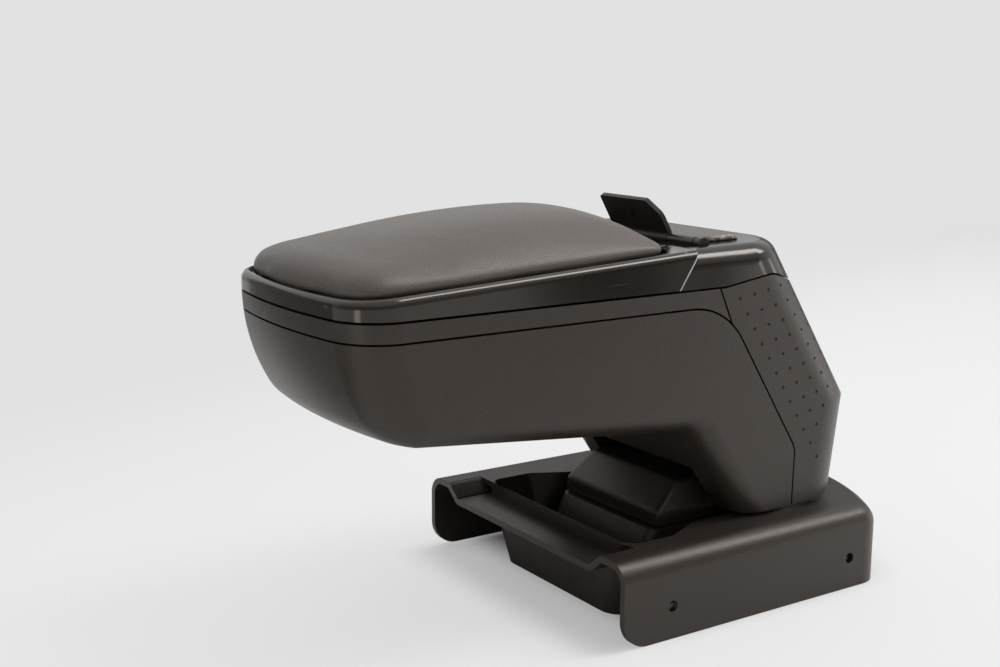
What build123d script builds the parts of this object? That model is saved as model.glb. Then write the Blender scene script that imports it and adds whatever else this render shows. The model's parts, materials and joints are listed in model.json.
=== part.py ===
"""Car centre armrest: a storage arm on a tilting post, carried by a moulded console tray.

Millimetres. +X points to the rear of the car, +Y to its right side and +Z up. The origin is on the
underside of the tray, midway along the straight side flanges.
"""
from build123d import *
from functools import cache
import math
import os

# Tray
TRAY_WIDTH = 160.0
TRAY_FRONT_X = -81.0
TRAY_REAR_X = 101.5
TRAY_REAR_BOW_R = 128.0
TRAY_CORNER_R = 14.0
TRAY_BEND_R = 9.5
TRAY_WALL = 3.0
DECK_Z = 38.0
FLANGE_CORNER_R = 13.0
FLANGE_HOLE_R = 2.6
FLANGE_HOLE_PITCH = 110.0
FLANGE_HOLE_MID_X = 1.0
FLANGE_HOLE_Z = 15.0
BAR_DEPTH = 19.0
BAR_DROP = 6.5
BAR_HALF = 55.0
BAR_STEP_RUN = 8.0
BAR_STEP_R = 3.5

# Tray pocket and the boss that stands in it
POCKET_MOUTH_HALF = 57.0
POCKET_NECK_HALF = 47.5
POCKET_SHOULDER_X = -37.0
POCKET_NECK_X = -18.0
POCKET_REAR_X = 14.0
POCKET_DRAFT = 8.0
POCKET_SIDE_DRAFT = 14.0
POCKET_OFFSET_Y = -2.5
POCKET_CORNER_R = 7.0
BOSS_HALF = 36.5
BOSS_FOOT_X = -40.5
BOSS_TOP_X = -30.0
BOSS_TOP_Z = 32.0
BOSS_BULGE = 1.8
BOSS_EDGE_R = 5.0

# Pivot cover on the boss
COVER_HALF = 36.5
COVER_FRONT_X = -27.0
COVER_CREASE_Z = 40.0
COVER_TOP_X = -13.0
COVER_TOP_Z = 53.0
COVER_TOP_HALF = 33.0
COVER_REAR_X = 26.0
COVER_WALL = 3.0
COVER_EDGE_R = 2.5
COVER_POST_R = 4.0
COVER_POST_X = (-14.0, 4.0)

# Tilt pivot
PIVOT_X = 55.0
PIVOT_Z = 65.0
PIN_R = 5.0
PIN_HALF = 37.5
PIN_CHAMFER = 0.6
RUNNING_FIT = 0.05
BRACKET_HALF = 20.0
BRACKET_PLATE = 3.0
BRACKET_EAR_R = 10.0
BRACKET_BASE_X = (38.0, 72.0)
BRACKET_SCREW_X = (44.0, 66.0)
BRACKET_SCREW_Y = 9.0
SCREW_R = 2.5
SCREW_HEAD_R = 4.5
SCREW_HEAD_H = 2.8
NUT_H = 4.0
BUSH_WALL = 2.5
BUSH_FLANGE_R = 10.0
BUSH_FLANGE_T = 1.8
SIDE_PLAY = 0.3
CHEEK_INNER = 22.4
CHEEK_T = 4.0
CHEEK_BOSS_R = 11.0
CHEEK_BOSS_LEN = 11.6
CLIP_T = 1.2
CLIP_R = 8.0

# Arm envelope
ARM_HALF = 61.0
ARM_FRONT_X = -200.5
ARM_CREASE_BACK = 3.2
ARM_CREASE_Y = 41.0
ARM_CORNER_BACK = (8.2, 8.0)
ARM_SIDE_BACK = 26.5
ARM_WALL = 3.0
RIM_Z = 140.7
BOW_TOP_Z = 150.0
BOW_R = 83.0
BOW_TURN = 30.8
CHIN_R = 24.0
CHIN_TURN = 78.0
CHIN_RUN = 40.0
FLOOR_FRONT_X = -181.0
FLOOR_FRONT_Z = 97.6
FLOOR_DROP = 14.5
FLOOR_REAR_X = -26.4
BLANK_SPARE = 30.0
BLANK_R = 22.0
THROAT_R = 12.0
LOWER_EDGE_R = 11.0
FOOT_Z = 40.0
FOOT_FRONT_X = 4.0
FOOT_ARC_R = PIVOT_Z - FOOT_Z
HEEL_X = 83.5
HEEL_Z = 88.0
HEEL_R = 4.0
BACK_TOP_X = 31.0
BACK_TOP_Z = 167.5
REAR_CORNER_R = 30.0
LID_TOP_FRONT_Z = 157.1
LID_TOP_REAR_X = -27.0
LID_TOP_REAR_Z = 166.6
LID_SHOULDER_R = 3.5
TRIM_SHOULDER_R = 9.0
TRIM_HOLLOW_CHAMFER = 4.0

# Parting lines of the arm
GROOVE = 0.9
GROOVE_TURN = (-11.7, 140.7)
GROOVE_TURN_R = 36.0
GROOVE_KNEE = (35.5, 68.2)
GROOVE_KNEE_R = 12.0
GROOVE_FOOT_X = 34.0
BAND_TOP_Z = 149.0
BAND_END_TOP = (-15.5, BAND_TOP_Z)
BAND_END_LOW = (-7.1, 131.0)
LID_GAP = 0.6
SPLIT_TOP_X = -27.4
SPLIT_LOW_X = -39.2
SPLIT_GAP = 0.9
TRIM_EDGE_RISE = 4.2
TRIM_EDGE_FALL = 8.0
TRIM_EDGE_FLAT_X = -12.0
TRIM_EDGE_HIGH_X = 17.0
TRIM_EDGE_LOW_X = 44.0
TRIM_EDGE_R = 20.0
SPINE_HALF = 14.0
SPINE_LOW_Z = 82.0
HEEL_SLOT_HALF = 22.5
HEEL_SLOT_Z = 80.0
BLOCK_SLOT_HALF = 40.0
BLOCK_SLOT_Z = 60.0

# Storage bin
BIN_CLEAR = 2.0
BIN_WALL = 2.0
BIN_FLOOR_Z = 106.0
BIN_REAR_X = -48.0
BIN_RIM_T = 3.5
BIN_SCREW_X = (-165.0, -75.0)
BIN_SCREW_Y = 40.0
BIN_SCREW_R = 1.6
BIN_BOSS_R = 4.5

# Lid, cushion and hinge
LID_OPENING_INSET = 6.5
LID_RECESS_INSET = 4.2
LID_RECESS_DEPTH = 1.4
LID_OPENING_FORWARD = 1.0
LID_PLATE = 3.0
BOARD_T = 3.0
BOARD_CLEAR = 0.2
CUSHION_CLEAR = 0.8
CUSHION_REAR_X = -38.5
CUSHION_FRONT_RISE = 12.0
CUSHION_MID_RISE = 21.5
CUSHION_REAR_RISE = 16.5
CUSHION_FRONT_CROWN_R = 700.0
CUSHION_MID_CROWN_R = 160.0
CUSHION_REAR_CROWN_R = 260.0
CUSHION_EDGE_R = 9.0
CUSHION_FRONT_SOFT_R = 6.0
CUSHION_CORNER_R = 10.0
HINGE_X = -16.0
HINGE_Z = 167.0
HINGE_PIN_R = 2.0
BARREL_R = 3.2
BARREL_GAP = 0.6
TAB_BARREL_HALF = 27.0
KNUCKLE_OUT = 45.0
EAR_T = 4.0
HINGE_CLEAR = 1.0
HINGE_TROUGH_Z = 161.5
PLATE_REAR_X = 10.0
TAB_TIP = 20.0
TAB_T = 2.2
TAB_SET = 0.2
TAB_NEAR_Y = 26.0
TAB_NEAR_TOP_Y = 19.0
TAB_FAR_Y = 15.0
TAB_SHOULDER = 12.6
TAB_SHOULDER_R = 6.0
TAB_CORNER_R = 1.5
TAB_LEAN = 30.0
LID_SCREW_X = (-165.0, -70.0)
LID_SCREW_R = 1.0
LID_SCREW_HEAD_R = 1.6
LID_SCREW_HEAD_H = 1.2
BUMPER_R = 2.0
BUMPER_Y = 12.0
BUMPER_CLEAR = 0.6

# Rear top pad and inner carrier
PAD_FRONT_X = -11.0
PAD_REAR_X = 15.0
PAD_HALF = 44.0
PAD_RISE = 2.4
PAD_CORNER_R = 9.0
PAD_EDGE_R = 1.5
CARRIER_LOW_Z = 57.5
CARRIER_FRONT_X = 6.0
CARRIER_WEB_REAR_X = 28.0
CARRIER_STEP_X = 40.0
CARRIER_HUB_HALF = 7.0
CARRIER_HUB_DROP = 12.0
CARRIER_HUB_BACK = 13.5
CARRIER_HUB_BACK_DROP = 2.0
CARRIER_HEEL_GAP = 14.0
CARRIER_REAR = (34.0, 140.0)
CARRIER_HEAD_X = (-6.0, 24.0)
CARRIER_NECK = (-12.0, 120.0)
CARRIER_THROAT = (-8.0, 84.0)
CARRIER_R = 8.0
CARRIER_HUB_R = 6.0
CARRIER_STEP_R = 3.0
SPACER_R = 6.0
SPACERS = ((16.0, 92.0), (-2.0, 118.0), (28.0, 104.0))
REST_PAD_X = (8.0, 20.0)
REST_PAD_HALF = 12.0
REST_PAD_CORNER_R = 2.0
REST_CLEAR = 0.3
TRIM_SCREW_X = 4.0
TRIM_SCREW_LEN = 12.0

# Working lengths: past every face, past one face, and as good as touching
REACH = 300.0
OVERCUT = 1.0
TOUCH = 0.1


def outline(*corners):
    """Closed face from (u, v, corner radius) rows."""
    points = [(u, v) for u, v, _ in corners]
    return make_face(FilletPolyline(*points, radius=[r for _, _, r in corners], close=True))


def slab(face, half):
    """Side-view face (x, z) given its width, evenly to both sides of the middle plane."""
    return extrude(Plane.XZ * face, amount=half, both=True)


def slab_between(face, y_low, y_high):
    """Side-view face (x, z) given its width from one y to another."""
    return Pos(0, y_high, 0) * extrude(Plane.XZ * face, amount=y_high - y_low)


def block(x, y, z):
    """Box between three pairs of limits."""
    centre = Pos(sum(x) / 2, sum(y) / 2, sum(z) / 2)
    return centre * Box(x[1] - x[0], y[1] - y[0], z[1] - z[0])


def rod(x, z, radius, y_low, y_high):
    """Round bar across the part."""
    return Pos(x, (y_low + y_high) / 2, z) * Rot(90, 0, 0) * Cylinder(radius, y_high - y_low)


def stud(x, y, radius, z_low, z_high):
    """Upright round bar."""
    return Pos(x, y, (z_low + z_high) / 2) * Cylinder(radius, z_high - z_low)


def lid_top(x):
    """Height of the lid frame's upper face at a place along the arm."""
    share = (x - ARM_FRONT_X) / (LID_TOP_REAR_X - ARM_FRONT_X)
    return LID_TOP_FRONT_Z + share * (LID_TOP_REAR_Z - LID_TOP_FRONT_Z)


LID_SLOPE = math.degrees(math.atan2(LID_TOP_REAR_Z - LID_TOP_FRONT_Z, LID_TOP_REAR_X - ARM_FRONT_X))


def tray_blank(inset, bend_r):
    """Bent skirt and deck as a solid, drawn in from the outside by a wall."""
    half = TRAY_WIDTH / 2 - inset
    bow_r = TRAY_REAR_BOW_R - inset
    bow_x = TRAY_REAR_X - TRAY_REAR_BOW_R
    front = TRAY_FRONT_X - TRAY_BEND_R
    plan = Pos((front + TRAY_REAR_X) / 2, 0) * Rectangle(TRAY_REAR_X - front, 2 * half)
    plan &= Pos(bow_x, 0) * Circle(bow_r)
    corners = plan.vertices().group_by(Axis.X)[-1]
    plan = fillet(corners, TRAY_CORNER_R - inset)
    body = extrude(plan, DECK_Z - inset)
    top = body.faces().sort_by(Axis.Z)[-1]
    rim = [edge for edge in top.edges() if edge.center().X > front + OVERCUT]
    return fillet(rim, bend_r)


def pocket_plan(depth, grow):
    """Pocket outline at a share of its depth: wide in front, with a neck beside the boss."""
    front = TRAY_FRONT_X + BAR_DEPTH + depth * POCKET_DRAFT / 2 - grow
    wide = POCKET_MOUTH_HALF - depth * POCKET_SIDE_DRAFT + grow
    neck = POCKET_NECK_HALF - depth * POCKET_DRAFT / 2 + grow
    rear = POCKET_REAR_X - depth * POCKET_DRAFT / 2 + grow
    r = POCKET_CORNER_R + grow
    rows = [(front, wide, r), (POCKET_SHOULDER_X, wide, r), (POCKET_NECK_X, neck, r), (rear, neck, r)]
    mirrored = [(x, -y, radius) for x, y, radius in reversed(rows)]
    return Pos(0, POCKET_OFFSET_Y) * outline(*rows, *mirrored)


def pocket_body(grow, floor_z):
    """Drafted pocket from its mouth at the deck down to its floor."""
    floor = Pos(0, 0, floor_z) * pocket_plan(1, grow)
    mouth = Pos(0, 0, DECK_Z) * pocket_plan(0, grow)
    return loft([floor.face(), mouth.face()], ruled=True)


def boss_body(inset):
    """Rounded boss in the pocket that carries the pivot cover."""
    low = (BOSS_FOOT_X + inset, -inset)
    high = (BOSS_TOP_X + inset, BOSS_TOP_Z - inset)
    mid = ((low[0] + high[0]) / 2 - BOSS_BULGE, (low[1] + high[1]) / 2)
    rear = POCKET_REAR_X + TRAY_WALL
    walls = [ThreePointArc(low, mid, high), Polyline(high, (rear, high[1]), (rear, -inset), low)]
    body = slab(make_face(walls), BOSS_HALF - inset)
    front = body.faces().sort_by(Axis.X)[0]
    sides = [edge for edge in front.edges() if abs(edge.center().Y) > BOSS_HALF / 2]
    return fillet(sides, BOSS_EDGE_R - inset)


def base_tray():
    """Moulded tray: skirt, deck, lowered front bar, pocket and boss in one wall thickness."""
    inner = tray_blank(TRAY_WALL, TRAY_BEND_R - TRAY_WALL)
    tray = tray_blank(0, TRAY_BEND_R) - inner
    tray &= block((TRAY_FRONT_X, REACH), (-REACH, REACH), (-OVERCUT, REACH))
    low = DECK_Z - BAR_DROP - TRAY_WALL / 2
    high = DECK_Z - TRAY_WALL / 2
    out = BAR_HALF + BAR_STEP_RUN
    bar_rear = TRAY_FRONT_X + BAR_DEPTH
    bar_x = (TRAY_FRONT_X - OVERCUT, bar_rear)
    tray -= block(bar_x, (-out, out), (high - TRAY_WALL, DECK_Z + OVERCUT))
    end = out + TRAY_WALL
    path = [(-end, high), (-out, high), (-BAR_HALF, low), (BAR_HALF, low), (out, high), (end, high)]
    strip = trace(FilletPolyline(*path, radius=BAR_STEP_R), TRAY_WALL)
    bar = extrude(Plane.YZ * strip, amount=BAR_DEPTH + TRAY_WALL)
    tray += Pos(TRAY_FRONT_X, 0, 0) * bar
    tray += pocket_body(TRAY_WALL, 0) & block((-REACH, REACH), (-REACH, REACH), (-OVERCUT, DECK_Z))
    front_wall_top = block((-REACH, bar_rear), (-REACH, REACH), (DECK_Z - BAR_DROP, REACH))
    tray -= front_wall_top & block((-REACH, REACH), (-BAR_HALF, BAR_HALF), (0, REACH))
    tray -= pocket_body(0, TRAY_WALL)
    tray += boss_body(0)
    tray -= boss_body(TRAY_WALL)
    corners = [
        edge
        for edge in tray.edges().filter_by(Axis.Y)
        if edge.center().X < TRAY_FRONT_X + TOUCH and edge.center().Z < TOUCH
    ]
    tray = fillet(corners, FLANGE_CORNER_R)
    for x in flange_hole_x():
        tray -= rod(x, FLANGE_HOLE_Z, FLANGE_HOLE_R, -TRAY_WIDTH, TRAY_WIDTH)
    for x, y in bracket_screw_places():
        tray -= stud(x, y, SCREW_R, 0, REACH)
    for x in COVER_POST_X:
        tray -= stud(x, 0, BIN_SCREW_R, 0, REACH)
    return tray


def flange_hole_x():
    """Places of the console screw holes along each flange."""
    half = FLANGE_HOLE_PITCH / 2
    return FLANGE_HOLE_MID_X - half, FLANGE_HOLE_MID_X + half


def bracket_screw_places():
    """Four fixing screws of the hinge bracket."""
    return [(x, side * BRACKET_SCREW_Y) for x in BRACKET_SCREW_X for side in (-1, 1)]


def cover_blank(inset):
    """Pivot cover outline with its sloped nose, drawn in by a wall."""
    nose = [
        (COVER_FRONT_X + inset, BOSS_TOP_Z, 0),
        (COVER_FRONT_X + inset, COVER_CREASE_Z - inset / 2, 0),
        (COVER_TOP_X + inset / 2, COVER_TOP_Z - inset, 0),
        (COVER_REAR_X - inset, COVER_TOP_Z - inset, 0),
        (COVER_REAR_X - inset, BOSS_TOP_Z, 0),
    ]
    lean = [
        (-COVER_HALF + inset, BOSS_TOP_Z, 0),
        (-COVER_HALF + inset, COVER_CREASE_Z, 0),
        (-COVER_TOP_HALF + inset, COVER_TOP_Z, 0),
        (COVER_TOP_HALF - inset, COVER_TOP_Z, 0),
        (COVER_HALF - inset, COVER_CREASE_Z, 0),
        (COVER_HALF - inset, BOSS_TOP_Z, 0),
    ]
    front = Pos(-REACH / 2, 0, 0) * extrude(Plane.YZ * outline(*lean), amount=REACH)
    return slab(outline(*nose), COVER_HALF) & front


def pivot_cover():
    """Hollow cover over the pivot's front, resting on the boss and the deck behind it."""
    body = cover_blank(0)
    slopes = [edge for edge in body.edges() if cover_visible_edge(edge)]
    body = fillet(slopes, COVER_EDGE_R) - cover_blank(COVER_WALL)
    for x in COVER_POST_X:
        post = stud(x, 0, COVER_POST_R, BOSS_TOP_Z, COVER_TOP_Z) & cover_blank(COVER_WALL / 2)
        body += post - stud(x, 0, BIN_SCREW_R, BOSS_TOP_Z - OVERCUT, COVER_TOP_Z - 2 * COVER_WALL)
    rear_step = block((POCKET_REAR_X - POCKET_DRAFT / 2, REACH), (-REACH, REACH), (0, DECK_Z))
    return body - rear_step


def cover_visible_edge(edge):
    """Edges of the sloped nose and of the leaning sides that are rounded."""
    middle = edge.center()
    upper = middle.Z > COVER_CREASE_Z + OVERCUT
    return upper and middle.X < COVER_REAR_X - OVERCUT


def hinge_bracket():
    """Folded steel bracket: base on the deck and two ears round the pivot pin."""
    top = DECK_Z + BRACKET_PLATE
    base = block(BRACKET_BASE_X, (-BRACKET_HALF, BRACKET_HALF), (DECK_Z, top))
    low, high = BRACKET_BASE_X
    side = make_face(Polyline((low, DECK_Z), (high, DECK_Z), (PIVOT_X + BRACKET_EAR_R, PIVOT_Z),
                              (PIVOT_X - BRACKET_EAR_R, PIVOT_Z), close=True))
    side += Pos(PIVOT_X, PIVOT_Z) * Circle(BRACKET_EAR_R)
    side -= Pos(PIVOT_X, PIVOT_Z) * Circle(PIN_R)
    inner = BRACKET_HALF - BRACKET_PLATE
    bracket = base + slab_between(side, inner, BRACKET_HALF) + slab_between(side, -BRACKET_HALF, -inner)
    for x, y in bracket_screw_places():
        bracket -= stud(x, y, SCREW_R, 0, REACH)
    return bracket


def bracket_screws():
    """Screws down through bracket and deck, with chamfered heads."""
    top = DECK_Z + BRACKET_PLATE
    low = DECK_Z - TRAY_WALL - NUT_H
    screws = []
    for x, y in bracket_screw_places():
        head = stud(x, y, SCREW_HEAD_R, top, top + SCREW_HEAD_H)
        head = chamfer(head.edges().group_by(Axis.Z)[-1], SCREW_HEAD_H / 2)
        screws.append(head + stud(x, y, SCREW_R - RUNNING_FIT, low, top))
    return Compound(screws)


def bracket_nuts():
    """Hexagon nuts under the deck."""
    nuts = []
    for x, y in bracket_screw_places():
        body = RegularPolygon(SCREW_HEAD_R, 6) - Circle(SCREW_R)
        nuts.append(Pos(x, y, DECK_Z - TRAY_WALL - NUT_H) * extrude(body, NUT_H))
    return Compound(nuts)


def cover_screws():
    """Screws up through the boss into the posts of the cover."""
    low = BOSS_TOP_Z - TRAY_WALL
    screws = []
    for x in COVER_POST_X:
        shank = stud(x, 0, BIN_SCREW_R - RUNNING_FIT, low, COVER_TOP_Z - 3 * COVER_WALL)
        screws.append(shank + stud(x, 0, SCREW_HEAD_R, low - SCREW_HEAD_H, low))
    return Compound(screws)


def rest_bumper():
    """Rubber block on the cover that the lowered arm rests on."""
    top = CARRIER_LOW_Z - REST_CLEAR
    pad = block(REST_PAD_X, (-REST_PAD_HALF, REST_PAD_HALF), (COVER_TOP_Z, top))
    return fillet(pad.edges().filter_by(Axis.Z), REST_PAD_CORNER_R)


def pivot_pin():
    """Tilt pin through the bracket ears and the bushes."""
    pin = rod(PIVOT_X, PIVOT_Z, PIN_R, -PIN_HALF, PIN_HALF)
    return chamfer(pin.edges().filter_by(GeomType.CIRCLE), PIN_CHAMFER)


def pin_clips():
    """Retaining rings outside the cheek bosses."""
    start = CHEEK_INNER + CHEEK_BOSS_LEN + SIDE_PLAY
    ring = Circle(CLIP_R) - Circle(PIN_R)
    face = Pos(PIVOT_X, PIVOT_Z) * ring
    return Compound([slab_between(face, start, start + CLIP_T), slab_between(face, -start - CLIP_T, -start)])


def heel_turn():
    """Angle about the pivot at which the rear face runs into the arc of the heel."""
    reach_x, reach_z = HEEL_X - PIVOT_X, HEEL_Z - PIVOT_Z
    return math.atan2(reach_z, reach_x) - math.acos(FOOT_ARC_R / math.hypot(reach_x, reach_z))


def on_heel_arc(angle):
    """Point of the heel's arc about the pivot."""
    return PIVOT_X + FOOT_ARC_R * math.cos(angle), PIVOT_Z + FOOT_ARC_R * math.sin(angle)


def arm_profile():
    """Side view of the whole arm and post, without the cushion and before its bow is cut."""
    floor_rear_z = FLOOR_FRONT_Z - FLOOR_DROP
    floor_slope = FLOOR_DROP / (FLOOR_REAR_X - FLOOR_FRONT_X)
    blank_x = ARM_FRONT_X - BLANK_SPARE
    blank_z = FLOOR_FRONT_Z + floor_slope * (FLOOR_FRONT_X - blank_x)
    turn = heel_turn()
    heel_end = on_heel_arc(turn)
    arc_mid = on_heel_arc((turn - math.pi / 2) / 2)
    foot_end = (PIVOT_X, FOOT_Z)
    rows = [
        (foot_end[0], foot_end[1], 0),
        (FOOT_FRONT_X, FOOT_Z, 0),
        (FLOOR_REAR_X, floor_rear_z, THROAT_R),
        (blank_x, blank_z, BLANK_R),
        (blank_x, lid_top(blank_x), 0),
        (LID_TOP_REAR_X, LID_TOP_REAR_Z, 0),
        (BACK_TOP_X, BACK_TOP_Z, 0),
        (HEEL_X, HEEL_Z, HEEL_R),
        (heel_end[0], heel_end[1], 0),
    ]
    points = [(x, z) for x, z, _ in rows]
    edges = FilletPolyline(*points, radius=[r for _, _, r in rows[1:-1]])
    return make_face([edges, ThreePointArc(heel_end, arc_mid, foot_end)])


def front_plan(inset):
    """Plan of the arm with its bowed front and creased corners."""
    rear = REACH
    crease_x = ARM_FRONT_X + ARM_CREASE_BACK
    corner_x = ARM_FRONT_X + ARM_CORNER_BACK[0]
    corner_y = ARM_HALF - ARM_CORNER_BACK[1]
    side_x = ARM_FRONT_X + ARM_SIDE_BACK
    crease_low, crease_high = (crease_x, -ARM_CREASE_Y), (crease_x, ARM_CREASE_Y)
    mid_low, mid_high = (corner_x, -corner_y), (corner_x, corner_y)
    side_low, side_high = (side_x, -ARM_HALF), (side_x, ARM_HALF)
    edges = [
        ThreePointArc(crease_low, (ARM_FRONT_X, 0), crease_high),
        ThreePointArc(crease_high, mid_high, side_high),
        Polyline(side_high, (rear, ARM_HALF), (rear, -ARM_HALF), side_low),
        ThreePointArc(side_low, mid_low, crease_low),
    ]
    face = make_face(edges)
    return offset(face, -inset, kind=Kind.INTERSECTION) if inset else face


def bow_path(top):
    """Curve of the bow in side view, from upright under the lid to the chin that meets the floor."""
    turn, end = math.radians(BOW_TURN), math.radians(CHIN_TURN)
    bow_x, bow_z = BOW_R, top
    chin_x = bow_x - (BOW_R - CHIN_R) * math.cos(turn)
    chin_z = bow_z - (BOW_R - CHIN_R) * math.sin(turn)

    def on_bow(angle):
        return bow_x - BOW_R * math.cos(angle), 0, bow_z - BOW_R * math.sin(angle)

    def on_chin(angle):
        return chin_x - CHIN_R * math.cos(angle), 0, chin_z - CHIN_R * math.sin(angle)

    x, _, z = on_chin(end)
    run = (x + CHIN_RUN * math.sin(end), 0, z - CHIN_RUN * math.cos(end))
    return Wire([
        Edge.make_three_point_arc(on_bow(0), on_bow(turn / 2), on_bow(turn)),
        Edge.make_three_point_arc(on_chin(turn), on_chin((turn + end) / 2), on_chin(end)),
        Edge.make_line(on_chin(end), run),
    ])


def bowed_front(inset):
    """Space behind the front of the arm: its plan carried down along the curve of the bow."""
    top = BOW_TOP_Z + inset / 2
    plan = Pos(0, 0, top) * front_plan(inset)
    path = bow_path(top)
    end = path @ 1
    front = extrude(plan, REACH) + sweep(plan, path, normal=(0, 0, 1))
    return front + extrude(Pos(end.X, 0, end.Z - top) * plan, -end.Z)


def rear_plan(inset):
    """Plan of the post with its large rear corners, at the height of the heel."""
    face = Pos((HEEL_X - REACH) / 2, 0) * Rectangle(REACH + HEEL_X, 2 * ARM_HALF)
    face = fillet(face.vertices().group_by(Axis.X)[-1], REAR_CORNER_R)
    return offset(face, -inset) if inset else face


def leaning(face, z, run, rise, height):
    """Prism that leans along the arm while it rises or falls by a height."""
    length = abs(height / rise) * math.hypot(run, rise)
    return extrude(Pos(0, 0, z) * face, amount=length, dir=(run, 0, rise))


@cache
def envelope(inset):
    """Outer form of arm and post, drawn in by a wall."""
    profile = arm_profile()
    if inset:
        profile = offset(profile, -inset, kind=Kind.INTERSECTION)
    body = slab(profile, ARM_HALF - inset)
    lower = [edge for edge in body.edges() if lower_side_edge(edge, inset)]
    body = fillet(lower, LOWER_EDGE_R - inset)
    front = bowed_front(inset)
    back = rear_plan(inset)
    rise_x = BACK_TOP_X - HEEL_X
    rise_z = BACK_TOP_Z - HEEL_Z
    turn = heel_turn()
    rear = leaning(back, HEEL_Z, rise_x, rise_z, REACH / 2)
    rear += leaning(back, HEEL_Z, math.sin(turn), -math.cos(turn), HEEL_Z)
    return body & front & rear


def lower_side_edge(edge, inset):
    """Side edges along the bow, the arm's floor, the throat and the front of the post."""
    middle = edge.center()
    on_side = abs(abs(middle.Y) - (ARM_HALF - inset)) < TOUCH
    in_front = middle.X < FOOT_FRONT_X + inset
    return on_side and in_front and FOOT_Z + 2 * ARM_WALL < middle.Z < RIM_Z


def groove_path():
    """Groove round the lower shell: along the rim, then down the post."""
    points = [(-REACH, RIM_Z), GROOVE_TURN, GROOVE_KNEE, (GROOVE_FOOT_X, 0)]
    return FilletPolyline(*points, radius=[GROOVE_TURN_R, GROOVE_KNEE_R])


def trim_edge_path():
    """Lower edge of the rear trim, which lifts over the post and falls again round its corner."""
    high = BAND_TOP_Z + TRIM_EDGE_RISE
    low = high - TRIM_EDGE_FALL
    arch = [(TRIM_EDGE_FLAT_X, BAND_TOP_Z), (TRIM_EDGE_HIGH_X, high), (TRIM_EDGE_LOW_X, low)]
    return FilletPolyline((-REACH, BAND_TOP_Z), *arch, (REACH, low), radius=TRIM_EDGE_R)


def band_end_path():
    """Short joint between the band of the bin and the rear panel."""
    return Line(BAND_END_TOP, BAND_END_LOW)


def split_x(z):
    """Place of the parting line between lid and rear trim at a height."""
    share = (z - BAND_TOP_Z) / (LID_TOP_REAR_Z - BAND_TOP_Z)
    return SPLIT_LOW_X + share * (SPLIT_TOP_X - SPLIT_LOW_X)


def zone_below(path, low):
    """Side-view face under a path that runs from front to rear."""
    start, end = path @ 0, path @ 1
    closing = Polyline((end.X, end.Y), (end.X, low), (start.X, low), (start.X, start.Y))
    return make_face([path, closing])


def shell_zone():
    """Side-view face of everything in front of and under the groove."""
    path = groove_path()
    return make_face([path, Polyline((GROOVE_FOOT_X, 0), (-REACH, 0), (-REACH, RIM_Z))])


def rear_zone():
    """Side-view face behind and over the groove, up to the trim's lower edge."""
    below_trim = zone_below(trim_edge_path(), 0)
    top = BAND_TOP_Z + TRIM_EDGE_RISE
    joint = [(BAND_END_TOP[0], top), BAND_END_TOP, BAND_END_LOW, (BAND_END_LOW[0], 0)]
    behind = Polyline(*joint, (REACH, 0), (REACH, top), close=True)
    return (below_trim & make_face(behind)) - shell_zone()


def band_zone():
    """Side-view face of the band between lid and groove."""
    corners = [(-REACH, BAND_TOP_Z), BAND_END_TOP, BAND_END_LOW, (-REACH, BAND_END_LOW[1])]
    return make_face(Polyline(*corners, close=True)) - shell_zone()


def lid_zone(back_off):
    """Side-view face of the lid, ending at the parting line or a distance in front of it."""
    low = BAND_TOP_Z + LID_GAP
    high = LID_TOP_REAR_Z + BARREL_R
    gap = SPLIT_GAP / 2 + back_off
    split = [(split_x(low) - gap, low), (split_x(high) - gap, high)]
    return make_face(Polyline((-REACH, low), *split, (-REACH, high), close=True))


def trim_zone():
    """Side-view face of the rear trim."""
    high = BACK_TOP_Z + BARREL_R
    low = BAND_TOP_Z
    gap = SPLIT_GAP / 2
    split = [(split_x(high) + gap, high), (split_x(low) + gap, low), (TRIM_EDGE_FLAT_X, low)]
    rear = [(TRIM_EDGE_FLAT_X, low - TRIM_EDGE_FALL), (REACH, low - TRIM_EDGE_FALL), (REACH, high)]
    return make_face(Polyline(*split, *rear, close=True)) - zone_below(trim_edge_path(), 0)


def grooves():
    """All parting gaps of the arm's outer wall."""
    paths = (groove_path(), trim_edge_path(), band_end_path())
    gaps = [slab(trace(path, GROOVE), REACH) for path in paths]
    return gaps[0] + gaps[1] + gaps[2]


def foot_opening():
    """Open underside of the post, inside its walls."""
    drop = 2 * ARM_WALL
    rear_z = FLOOR_FRONT_Z - FLOOR_DROP
    lean = (FOOT_FRONT_X - FLOOR_REAR_X) / (rear_z - FOOT_Z)
    lowered = Pos(drop * lean, 0, -drop) * envelope(ARM_WALL)
    return lowered & block((-REACH, PIVOT_X), (-REACH, REACH), (0, FOOT_Z + 2 * drop))


@cache
def outer_wall():
    """Wall of the whole arm, parted along its grooves and open under the post."""
    return envelope(0) - envelope(ARM_WALL) - foot_opening() - grooves()


def heel_slot():
    """Slot in the heel that the bracket passes through as the arm tilts."""
    return block((FOOT_FRONT_X, REACH), (-HEEL_SLOT_HALF, HEEL_SLOT_HALF), (0, HEEL_SLOT_Z))


def bin_screw_places():
    """Four screws that hold the bin down."""
    return [(x, side * BIN_SCREW_Y) for x in BIN_SCREW_X for side in (-1, 1)]


def arm_shell():
    """Lower shell of the arm with the front of the post."""
    shell = outer_wall() & slab(shell_zone(), REACH)
    shell -= block((-REACH, REACH), (-BLOCK_SLOT_HALF, BLOCK_SLOT_HALF), (0, BLOCK_SLOT_Z))
    under = BIN_FLOOR_Z - BIN_WALL
    for x, y in bin_screw_places():
        boss = stud(x, y, BIN_BOSS_R, 0, under) & envelope(ARM_WALL / 2)
        shell += boss
        shell -= stud(x, y, BIN_SCREW_R, FLOOR_FRONT_Z, under)
    return shell


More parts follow.
